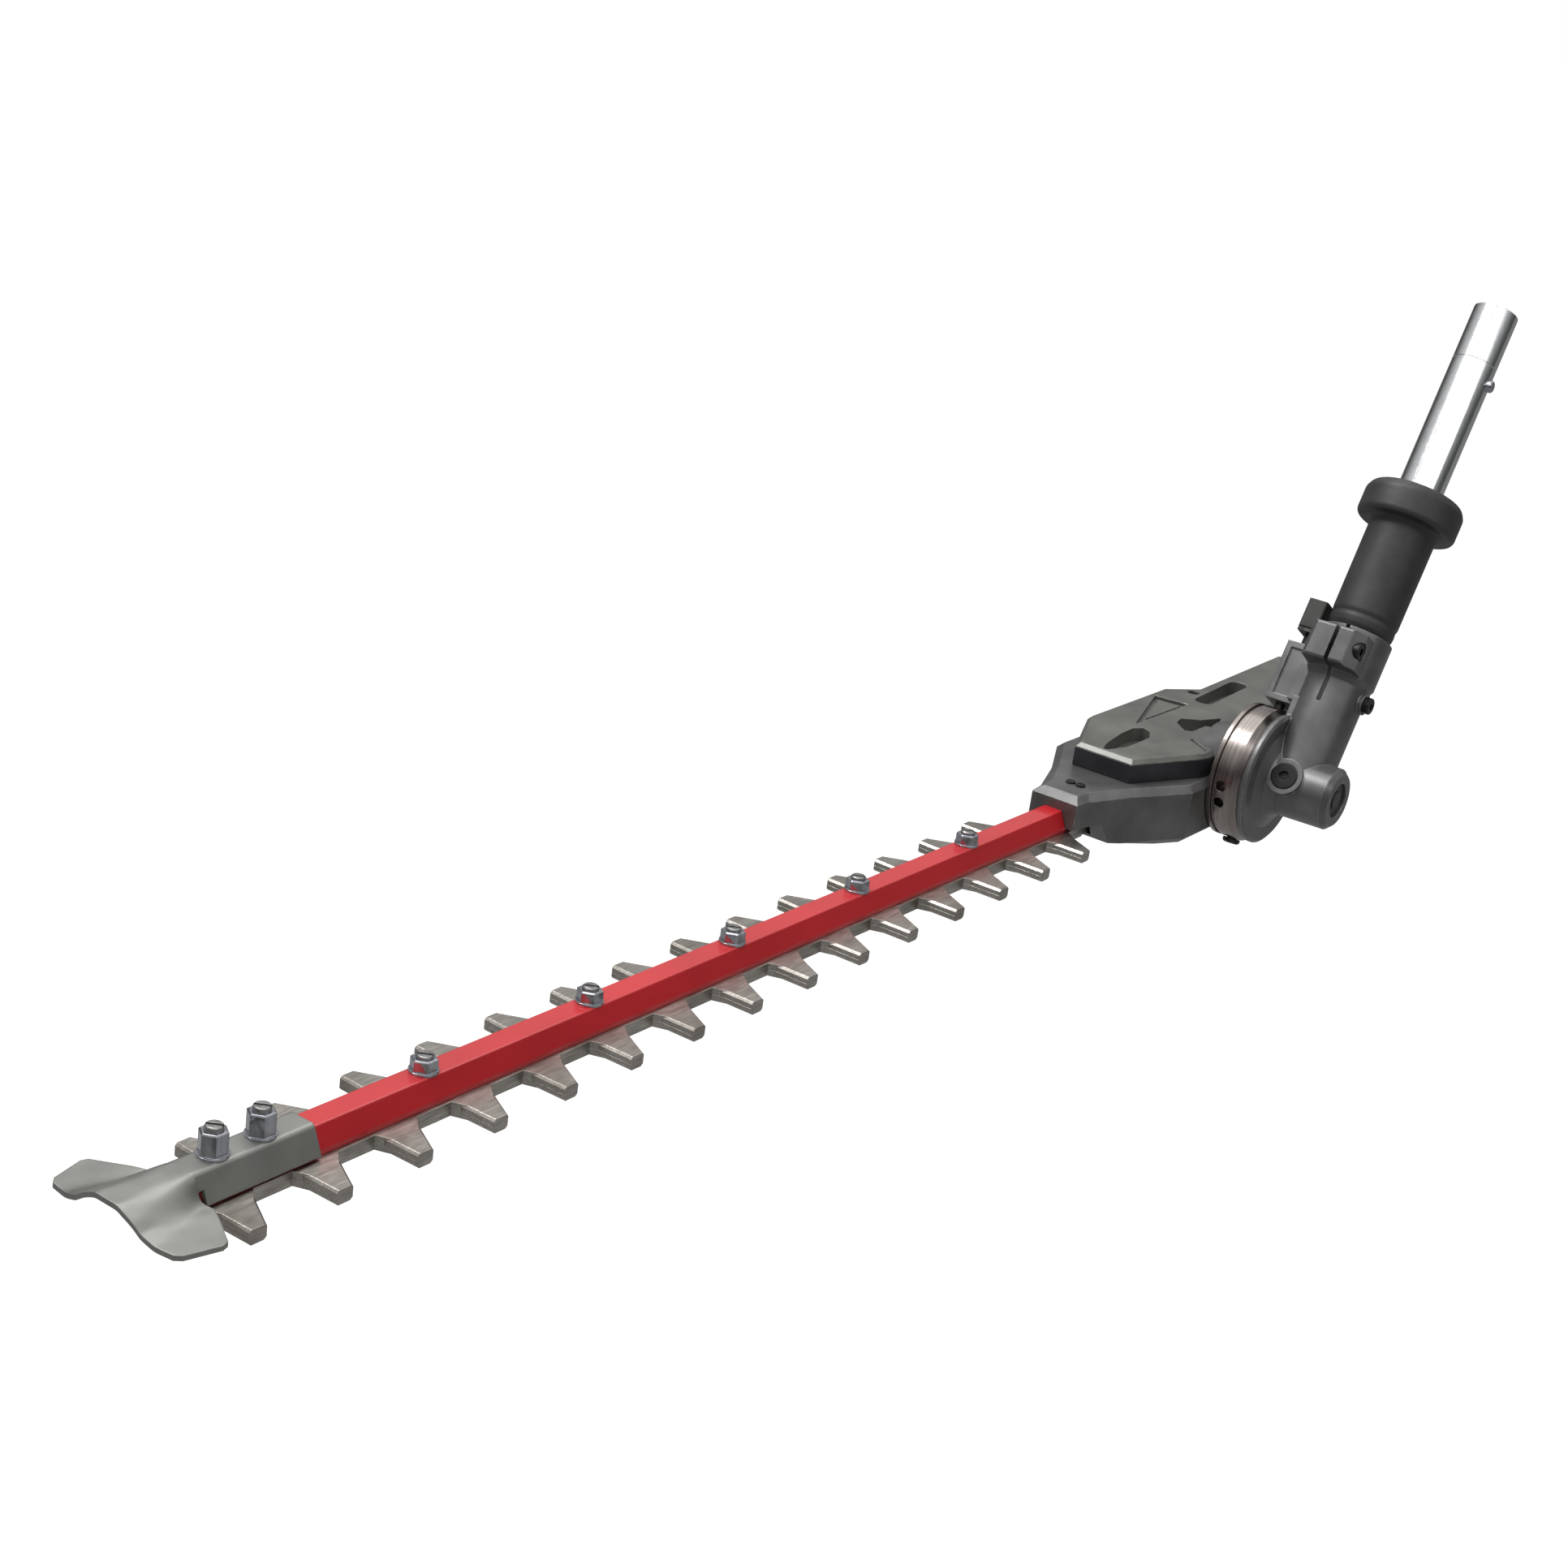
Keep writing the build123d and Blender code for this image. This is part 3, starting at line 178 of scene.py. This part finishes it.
def cast_metal(name, dark, light, worn_and_edge_highlight, metallic, rough, grain=1500.0, grain_depth=0.00006):
    """Painted or blasted casting: fine grain, slow mottling, and patchy lighter edges that are partly rub wear and
    partly a painted edge highlight.
    """
    material, tree, shader = new_material(name)
    where = place(tree)
    mottling = noise(tree, where, scale=45.0, detail=5.0)
    body = ramp(tree, mottling, 0.3, 0.7, dark, light)
    rounded = soft_normal(tree, radius=0.0007)
    patches = level_map(tree, noise(tree, where, scale=260.0), 0.0, 1.0, start=0.35, end=0.62)
    # sharp edges are lightened in patches towards the edge colour: partly rub wear, partly a painted edge
    # highlight
    rubbed_and_highlit_edges = multiply(tree, edge_mask(tree, rounded), patches)
    tree.links.new(mix_colour(tree, rubbed_and_highlit_edges, body, worn_and_edge_highlight), shader.inputs["Base Color"])
    shader.inputs["Metallic"].default_value = metallic
    sheen = level_map(tree, mottling, *rough, start=0.25, end=0.75)
    tree.links.new(sheen, shader.inputs["Roughness"])
    fine = noise(tree, where, scale=grain, detail=3.0, roughness=0.7)
    bump(tree, shader, fine, strength=0.35, distance=grain_depth, base=rounded)
    return material


def brushed(name, dark, light, direction, rough, scratch=0.25, spots=None):
    """Ground or turned steel: fine lines along one direction, with soft tonal streaks."""
    material, tree, shader = new_material(name)
    lines = noise(tree, place(tree, direction), scale=60.0, detail=6.0, roughness=0.65)
    colour = ramp(tree, lines, 0.28, 0.72, dark, light)
    if spots is not None:
        clouds = noise(tree, place(tree), scale=38.0, detail=3.0)
        stain = level_map(tree, clouds, 0.0, 0.8, start=0.45, end=0.7)
        colour = mix_colour(tree, stain, colour, spots)
    tree.links.new(colour, shader.inputs["Base Color"])
    shader.inputs["Metallic"].default_value = 1.0
    sheen = level_map(tree, lines, *rough, start=0.2, end=0.8)
    tree.links.new(sheen, shader.inputs["Roughness"])
    rounded = soft_normal(tree, radius=0.0004)
    bump(tree, shader, lines, strength=scratch, distance=0.00003, base=rounded)
    return material


def gloss_paint(name, dark, light, worn_and_edge_highlight, coat):
    """Sprayed gloss paint with faint orange peel, dust, and patchy lighter edges that are partly rub wear and
    partly a painted edge highlight.
    """
    material, tree, shader = new_material(name)
    where = place(tree)
    broad = noise(tree, where, scale=18.0, detail=3.0)
    body = ramp(tree, broad, 0.3, 0.7, dark, light)
    rounded = soft_normal(tree, radius=0.0005)
    patches = level_map(tree, noise(tree, where, scale=330.0), 0.0, 0.8, start=0.5, end=0.7)
    # sharp edges are lightened in patches towards the edge colour: partly rub wear, partly a painted edge
    # highlight
    rubbed_and_highlit_edges = multiply(tree, edge_mask(tree, rounded), patches)
    tree.links.new(mix_colour(tree, rubbed_and_highlit_edges, body, worn_and_edge_highlight), shader.inputs["Base Color"])
    dust = noise(tree, place(tree, (1, 3, 3)), scale=420.0, detail=5.0, roughness=0.7)
    sheen = level_map(tree, dust, 0.28, 0.46, start=0.3, end=0.75)
    tree.links.new(sheen, shader.inputs["Roughness"])
    shader.inputs["Coat Weight"].default_value = coat
    shader.inputs["Coat Roughness"].default_value = 0.16
    peel = noise(tree, where, scale=420.0, detail=2.0)
    bump(tree, shader, peel, strength=0.05, distance=0.00004, base=rounded)
    return material


def moulded(name, dark, light, rough):
    """Moulded rubber or plastic: spark-eroded grain, slight bloom and scuffs."""
    material, tree, shader = new_material(name)
    where = place(tree)
    bloom = noise(tree, where, scale=60.0, detail=6.0, roughness=0.6)
    tree.links.new(ramp(tree, bloom, 0.3, 0.75, dark, light), shader.inputs["Base Color"])
    scuffs = noise(tree, place(tree, (1, 1, 6)), scale=160.0, detail=5.0, roughness=0.7)
    sheen = level_map(tree, scuffs, *rough, start=0.3, end=0.7)
    tree.links.new(sheen, shader.inputs["Roughness"])
    grain = noise(tree, where, scale=2200.0, detail=2.0)
    rounded = soft_normal(tree, radius=0.0006)
    bump(tree, shader, grain, strength=0.5, distance=0.00005, base=rounded)
    return material


# the third colour of each casting and paint is its edge colour: partly rub wear, partly a painted edge highlight
casting = cast_metal(
    "casting", (0.108, 0.106, 0.107), (0.176, 0.173, 0.172), (0.46, 0.46, 0.45),
    metallic=0.6, rough=(0.26, 0.42),
)
cover = cast_metal(
    "cover", (0.108, 0.109, 0.100), (0.172, 0.173, 0.158), (0.42, 0.42, 0.40),
    metallic=0.45, rough=(0.30, 0.44),
)
seal = moulded("seal", (0.012, 0.012, 0.015), (0.030, 0.029, 0.035), rough=(0.3, 0.48))
red_paint = gloss_paint(
    "red_paint", (0.45, 0.003, 0.008), (0.56, 0.006, 0.013), (0.55, 0.11, 0.11), coat=0.7
)
blade = brushed(
    "blade_steel", (0.30, 0.28, 0.255), (0.58, 0.55, 0.505), (2, 20, 20),
    rough=(0.26, 0.40), spots=(0.25, 0.225, 0.195),
)
guard = cast_metal(
    "guard", (0.245, 0.247, 0.230), (0.315, 0.317, 0.296), (0.44, 0.45, 0.425),
    metallic=0.8, rough=(0.36, 0.48), grain=2600.0, grain_depth=0.00002,
)
bright = brushed(
    "bright_plate", (0.30, 0.31, 0.34), (0.52, 0.53, 0.57), (8, 8, 1), rough=(0.06, 0.16), scratch=0.1
)
steel = brushed("plain_steel", (0.24, 0.24, 0.24), (0.42, 0.42, 0.41), (6, 6, 1), rough=(0.25, 0.42))
ring = brushed(
    "ring_steel", (0.17, 0.148, 0.138), (0.32, 0.288, 0.272), (1, 24, 1), rough=(0.20, 0.30), scratch=0.05
)
black_screw = cast_metal(
    "black_screw", (0.010, 0.010, 0.011), (0.022, 0.022, 0.024), (0.09, 0.09, 0.09),
    metallic=0.6, rough=(0.3, 0.45), grain=3000.0,
)
tube = brushed(
    "tube_aluminium", (0.60, 0.61, 0.62), (0.76, 0.77, 0.78), (9, 9, 1), rough=(0.10, 0.18), scratch=0.04
)
dark_steel = brushed(
    "dark_steel", (0.035, 0.035, 0.036), (0.085, 0.084, 0.082), (6, 6, 1), rough=(0.28, 0.42)
)
rubber = moulded("sleeve_rubber", (0.018, 0.018, 0.020), (0.038, 0.038, 0.041), rough=(0.42, 0.6))
thumb = moulded("thumb_plastic", (0.020, 0.020, 0.018), (0.034, 0.034, 0.031), rough=(0.45, 0.62))
brass = brushed("brass", (0.42, 0.30, 0.12), (0.62, 0.46, 0.20), (4, 4, 1), rough=(0.25, 0.4))

by_slot = {
    "dark_casting": casting, "cover_grey": cover, "seal_black": seal, "bar_red": red_paint,
    "blade_steel": blade, "guard_plastic": guard, "bright_nut": bright, "bolt_steel": steel,
    "ring_steel": ring, "black_screw": black_screw, "tube_aluminium": tube, "sleeve_rubber": rubber,
    "thumb_plastic": thumb, "gear_steel": steel, "bearing_steel": bright, "bush_brass": brass,
    "spring_steel": steel, "dark_steel": dark_steel,
}
for entry in frame["record"]["subparts"]:
    mesh = nodes[entry["node"]].data
    mesh.materials.clear()
    mesh.materials.append(by_slot[entry["material_slot"]])


# ---- pieces ---------------------------------------------------------------------------------------
def revolved(name, profile, base, axis, material, body, segments=96):
    """Closed ring piece: profile is (radius, distance along the axis) points, in metres, in order."""
    across = axis.orthogonal().normalized()
    other = axis.cross(across)
    mesh = bmesh.new()
    rings = []
    for number in range(segments):
        angle = 2 * math.pi * number / segments
        spoke = across * math.cos(angle) + other * math.sin(angle)
        rings.append([mesh.verts.new(base + spoke * r + axis * s) for r, s in profile])
    for number in range(segments):
        here, there = rings[number], rings[(number + 1) % segments]
        for k in range(len(profile)):
            after = (k + 1) % len(profile)
            mesh.faces.new((here[k], there[k], there[after], here[after]))
    bmesh.ops.recalc_face_normals(mesh, faces=mesh.faces)
    for face in mesh.faces:
        face.smooth = True
    data = bpy.data.meshes.new(name)
    mesh.to_mesh(data)
    mesh.free()
    made = bpy.data.objects.new(name, data)
    bpy.context.scene.collection.objects.link(made)
    data.materials.append(material)
    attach(made, body)
    return made


def rounded_profile(corners, steps=5):
    """Profile points with each (radius, distance, fillet) corner replaced by an arc-like curve."""
    points = []
    count = len(corners)
    for k, (r, s, fillet) in enumerate(corners):
        corner = Vector((r, s))
        if fillet == 0:
            points.append(tuple(corner))
            continue
        before = (Vector(corners[k - 1][:2]) - corner).normalized() * fillet
        after = (Vector(corners[(k + 1) % count][:2]) - corner).normalized() * fillet
        for step in range(steps + 1):
            t = step / steps
            points.append(tuple(corner + before * (1 - t) ** 2 + after * t ** 2))
    return points


MM = 0.001
# the sleeve's section in millimetres: radius, distance from the pivot along the pole, and fillet
SLEEVE_BORE_R = 11.02
SLEEVE_FROM = 79.3
SLEEVE_TO = 154.2
sleeve_foot = [
    (SLEEVE_BORE_R, SLEEVE_FROM, 0), (14.8, SLEEVE_FROM, 0.5), (15.8, 81.6, 0.8),
    (16.1, 84.4, 0.6), (15.8, 86.4, 0.5), (16.4, 88.4, 0.9),
]
sleeve_grip = [(16.6, 134.0, 1.5)]
sleeve_collar = [
    (18.4, 136.6, 1.0), (23.6, 136.9, 0.9), (24.5, 138.6, 0.8), (24.5, 149.6, 1.2), (22.6, 153.2, 1.6),
    (18.6, 154.4, 1.2), (16.0, 153.6, 0.8), (14.2, SLEEVE_TO, 0.8), (SLEEVE_BORE_R, SLEEVE_TO, 0),
]
sleeve = revolved(
    "rubber_sleeve",
    [(r * MM, s * MM) for r, s in rounded_profile(sleeve_foot + sleeve_grip + sleeve_collar)],
    along_pole(0), POLE, rubber, "pole",
)
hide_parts("grip_sleeve")


# ---- studio -----------------------------------------------------------------------------------------
UP = Vector((0, 0, 1))
FLOOR_HALF = 30.0
# how much the floor glows to the camera alone, so that it stays pale far from the lights
FLOOR_GLOW = 0.80


def studio_floor(height):
    """Wide paper floor."""
    mesh = bmesh.new()
    turns = ((-1, -1), (1, -1), (1, 1), (-1, 1))
    corners = [mesh.verts.new((x * FLOOR_HALF, y * FLOOR_HALF, height)) for x, y in turns]
    mesh.faces.new(corners)
    data = bpy.data.meshes.new("floor")
    mesh.to_mesh(data)
    mesh.free()
    made = bpy.data.objects.new("floor", data)
    bpy.context.scene.collection.objects.link(made)
    material, tree, shader = new_material("floor_paper")
    grain = noise(tree, place(tree), scale=300.0, detail=3.0)
    paper = ramp(tree, grain, 0.2, 0.8, (0.38, 0.38, 0.38), (0.42, 0.42, 0.42))
    tree.links.new(paper, shader.inputs["Base Color"])
    shader.inputs["Roughness"].default_value = 0.9
    shader.inputs["Specular IOR Level"].default_value = 0.1
    seen = tree.nodes.new("ShaderNodeLightPath")
    glow = multiply(tree, seen.outputs["Is Camera Ray"], FLOOR_GLOW)
    tree.links.new(glow, shader.inputs["Emission Strength"])
    shader.inputs["Emission Color"].default_value = (1, 1, 1, 1)
    data.materials.append(material)


def softbox(name, place_at, aim, width, height, power, lengthwise):
    """Rectangular lamp aimed at a point; its height runs along lengthwise."""
    light = bpy.data.lights.new(name, "AREA")
    light.shape = "RECTANGLE"
    light.size = width
    light.size_y = height
    light.energy = power
    made = bpy.data.objects.new(name, light)
    bpy.context.scene.collection.objects.link(made)
    made.location = place_at
    outward = (place_at - aim).normalized()
    across = lengthwise.cross(outward).normalized()
    turn = Matrix((across, outward.cross(across), outward)).transposed()
    made.rotation_mode = "QUATERNION"
    made.rotation_quaternion = turn.to_quaternion()


# the floor lies below the lowest point that the cutter's tip can swing to
TIP_REACH = 0.65
FLOOR_GAP = 0.01
studio_floor(PIVOT.z - TIP_REACH - FLOOR_GAP)
middle = (Vector(cad_box[0]) + Vector(cad_box[1])) / 2
softbox(
    "top_box", middle + Vector((-0.1, -0.2, 1.2)), middle,
    width=1.8, height=0.8, power=9, lengthwise=Vector((0, 1, 0)),
)
softbox(
    "key_box", middle + Vector((0.3, -0.9, 1.5)), middle,
    width=0.6, height=0.5, power=17, lengthwise=UP,
)
# long narrow lamp that lays one white band along the tube
tube_middle = along_pole(0.2)
softbox(
    "tube_box", tube_middle + Vector((0.74, 0.85, 0.99)), tube_middle,
    width=0.25, height=2.4, power=4.2, lengthwise=Vector((-0.521, 0.799, -0.301)),
)

# reflected sky: (place, grey level), with straight down at 0, the horizon at 0.5 and straight up at 1
SKY = ((0.40, 0.22), (0.50, 0.07), (0.58, 0.16), (0.70, 0.55), (0.80, 0.90), (0.90, 0.80), (1.0, 0.45))
SKY_STRENGTH = 0.85


def background(tree, strength):
    """White background shader."""
    made = add_node(tree, "ShaderNodeBackground", Strength=strength)
    made.inputs["Color"].default_value = (1, 1, 1, 1)
    return made


def studio_world():
    """White to the camera, the grey sky to reflections."""
    world = bpy.data.worlds.new("studio")
    bpy.context.scene.world = world
    world.use_nodes = True
    tree = world.node_tree
    tree.nodes.clear()
    coords = tree.nodes.new("ShaderNodeTexCoord")
    split = tree.nodes.new("ShaderNodeSeparateXYZ")
    tree.links.new(coords.outputs["Generated"], split.inputs[0])
    rise = level_map(tree, split.outputs["Z"], 0.0, 1.0, start=-1.0, end=1.0)
    sky = tree.nodes.new("ShaderNodeValToRGB")
    tree.links.new(rise, sky.inputs["Fac"])
    stops = sky.color_ramp.elements
    stops[0].position = SKY[0][0]
    for position, _ in SKY[1:-1]:
        stops.new(position)
    for stop, (_, shade) in zip(stops, SKY):
        stop.color = (shade, shade, shade, 1)
    backdrop = background(tree, 1.0)
    reflected = background(tree, SKY_STRENGTH)
    tree.links.new(sky.outputs["Color"], reflected.inputs["Color"])
    rays = tree.nodes.new("ShaderNodeLightPath")
    chooser = tree.nodes.new("ShaderNodeMixShader")
    tree.links.new(rays.outputs["Is Camera Ray"], chooser.inputs[0])
    tree.links.new(reflected.outputs[0], chooser.inputs[1])
    tree.links.new(backdrop.outputs[0], chooser.inputs[2])
    output = tree.nodes.new("ShaderNodeOutputWorld")
    tree.links.new(chooser.outputs[0], output.inputs["Surface"])


studio_world()

# ---- camera -----------------------------------------------------------------------------------------
# the camera's place from the pivot, in metres, and its angles, in radians
CAMERA_OFFSET = Vector((1.06256, 0.49410, 0.37469))
AZIMUTH = 0.9765763
ELEVATION = 0.3502168
ROLL = 0.1369670
# millimetres
SENSOR_WIDTH = 36.0
LENS = 56.811


def studio_camera():
    """Camera with the azimuth measured from +Y towards +X, and rolled about its own axis."""
    back = Vector((
        math.sin(AZIMUTH) * math.cos(ELEVATION),
        math.cos(AZIMUTH) * math.cos(ELEVATION),
        math.sin(ELEVATION),
    ))
    right = UP.cross(back).normalized()
    above = back.cross(right)
    turned_right = right * math.cos(ROLL) + above * math.sin(ROLL)
    turned_up = above * math.cos(ROLL) - right * math.sin(ROLL)
    data = bpy.data.cameras.new("camera")
    data.sensor_width = SENSOR_WIDTH
    data.lens = LENS
    data.clip_start = 0.01
    made = bpy.data.objects.new("camera", data)
    bpy.context.scene.collection.objects.link(made)
    turn = Matrix((turned_right, turned_up, back)).transposed().to_4x4()
    made.matrix_world = Matrix.Translation(PIVOT + CAMERA_OFFSET) @ turn
    bpy.context.scene.camera = made


studio_camera()
bpy.context.scene.view_settings.view_transform = "Standard"
